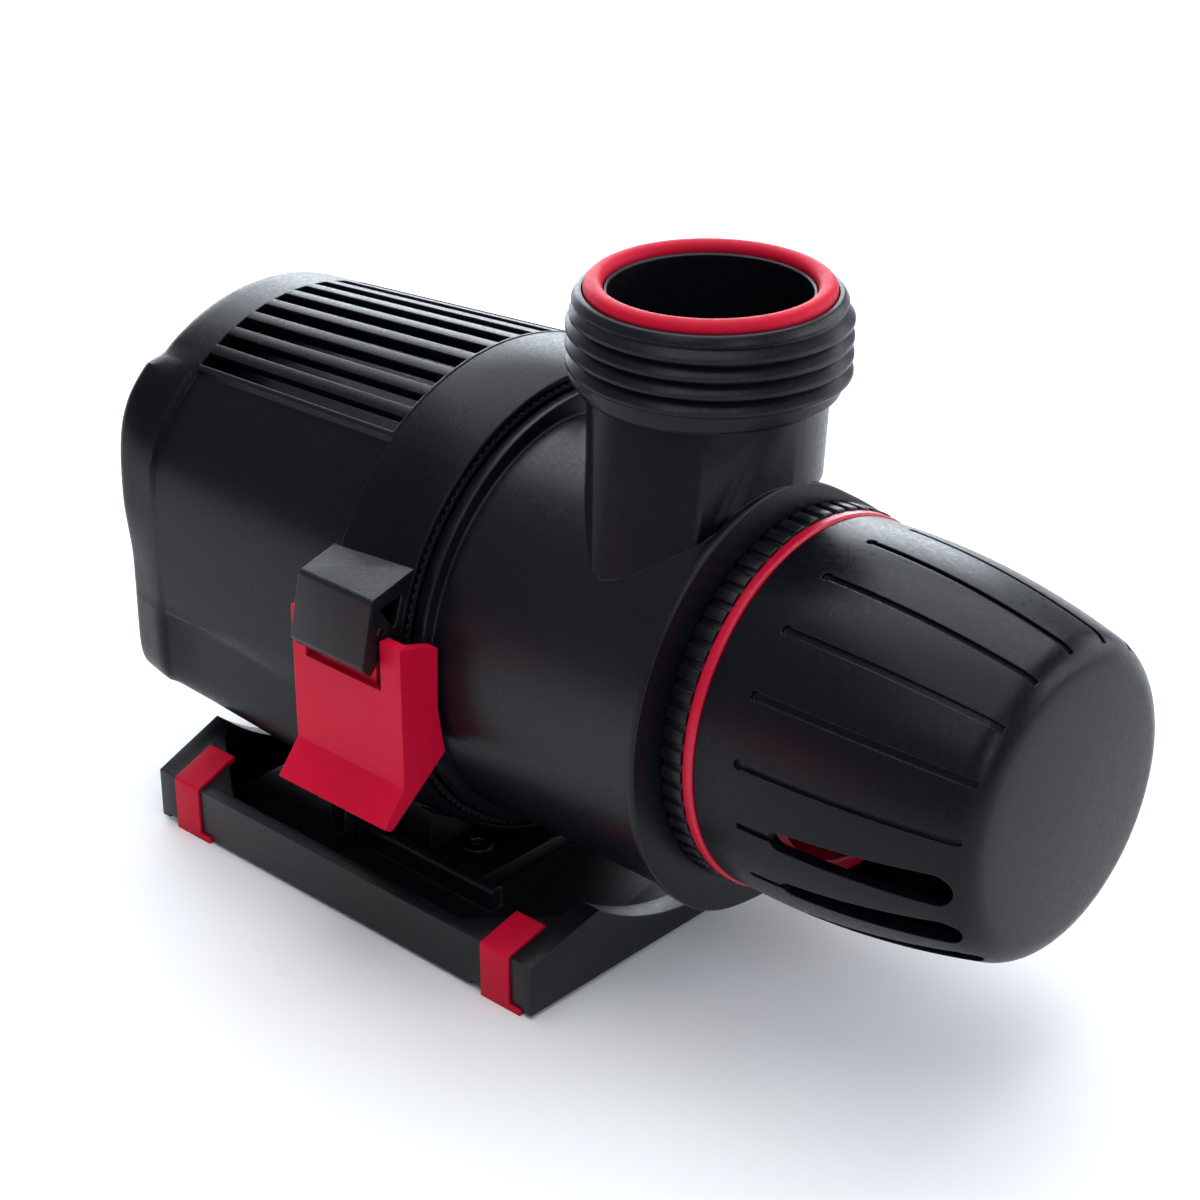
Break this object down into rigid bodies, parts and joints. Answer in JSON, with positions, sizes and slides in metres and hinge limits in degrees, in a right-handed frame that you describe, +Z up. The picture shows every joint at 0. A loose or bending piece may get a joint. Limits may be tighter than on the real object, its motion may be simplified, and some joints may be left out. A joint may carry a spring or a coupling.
{
  "type": "aquarium and pond pump",
  "caption": "Centrifugal aquarium and pond pump: vented motor, threaded outlet pointing up, slotted intake strainer, red side latches and a flat base on rubber feet.",
  "frame": {"origin": "centre of the object's bounding box in plan, on the ground under its feet", "axes": "+X along the pump's axis from the motor to the strainer, +Z up along the outlet, -Y is the side that the picture shows"},
  "size_m": [0.1992, 0.1074, 0.1215],
  "materials": {
    "charcoal_plastic": "fine grain, satin",
    "red_plastic": "fine grain, semi-gloss",
    "red_rubber": "matt",
    "black_rubber": "matt",
    "stainless_steel": "brushed",
    "ceramic": "polished",
    "core_steel": "laminated, lacquered",
    "copper": "enamelled wire",
    "ferrite": "coated",
    "impeller_plastic": "smooth"
  },
  "bodies": {
    "pump": {"base_tray": "charcoal_plastic", "cradle": "charcoal_plastic", "motor_housing": "charcoal_plastic", "rear_cover": "charcoal_plastic", "rotor_well": "charcoal_plastic", "rotor_cover": "charcoal_plastic", "volute_housing": "charcoal_plastic", "bearing_spider": "charcoal_plastic", "latch_bracket_left": "charcoal_plastic", "latch_bracket_right": "charcoal_plastic", "stator_can": "charcoal_plastic", "intake_nozzle": "red_plastic", "foot_rear_left": "red_rubber", "foot_rear_right": "red_rubber", "foot_front_left": "red_rubber", "foot_front_right": "red_rubber", "outlet_o_ring": "red_rubber", "cable_gland": "black_rubber", "rear_bearing_seat": "black_rubber", "front_bearing_seat": "black_rubber", "head_seal": "black_rubber", "cradle_screw_1": "stainless_steel", "cradle_screw_2": "stainless_steel", "cradle_screw_3": "stainless_steel", "cradle_screw_4": "stainless_steel", "rear_cover_screw_1": "stainless_steel", "rear_cover_screw_2": "stainless_steel", "rear_cover_screw_3": "stainless_steel", "rear_cover_screw_4": "stainless_steel", "latch_pin_left": "stainless_steel", "latch_pin_right": "stainless_steel", "rear_bearing": "ceramic", "front_bearing": "ceramic", "stator_core": "core_steel", "coil_1": "copper", "coil_2": "copper", "coil_3": "copper", "coil_4": "copper", "coil_5": "copper", "coil_6": "copper"},
    "rotor": {"rotor_magnet": "ferrite", "shaft": "ceramic", "impeller": "impeller_plastic", "thrust_washer": "ceramic"},
    "latch_left": {"latch_lever_left": "red_plastic"},
    "latch_right": {"latch_lever_right": "red_plastic"},
    "intake_ring": {"grip_ring": "charcoal_plastic"},
    "strainer": {"strainer_cage": "charcoal_plastic"}
  },
  "joints": [
    {"name": "rotor_spin", "type": "hinge", "parent": "pump", "child": "rotor", "pos_m": [0, 0, 0.0522], "axis": [1, 0, 0], "continuous": true},
    {"name": "latch_left_swing", "type": "hinge", "parent": "pump", "child": "latch_left", "pos_m": [-0.0171, -0.0479, 0.0637], "axis": [-1, 0, 0], "range_deg": [0, 27]},
    {"name": "latch_right_swing", "type": "hinge", "parent": "pump", "child": "latch_right", "pos_m": [-0.0171, 0.0479, 0.0637], "axis": [1, 0, 0], "range_deg": [0, 27]},
    {"name": "strainer_twist", "type": "hinge", "parent": "pump", "child": "intake_ring", "pos_m": [0, 0, 0.0522], "axis": [1, 0, 0], "range_deg": [0, 25]},
    {"name": "strainer_pull", "type": "slide", "parent": "intake_ring", "child": "strainer", "axis": [1, 0, 0], "range_m": [0, 0.045]}
  ]
}
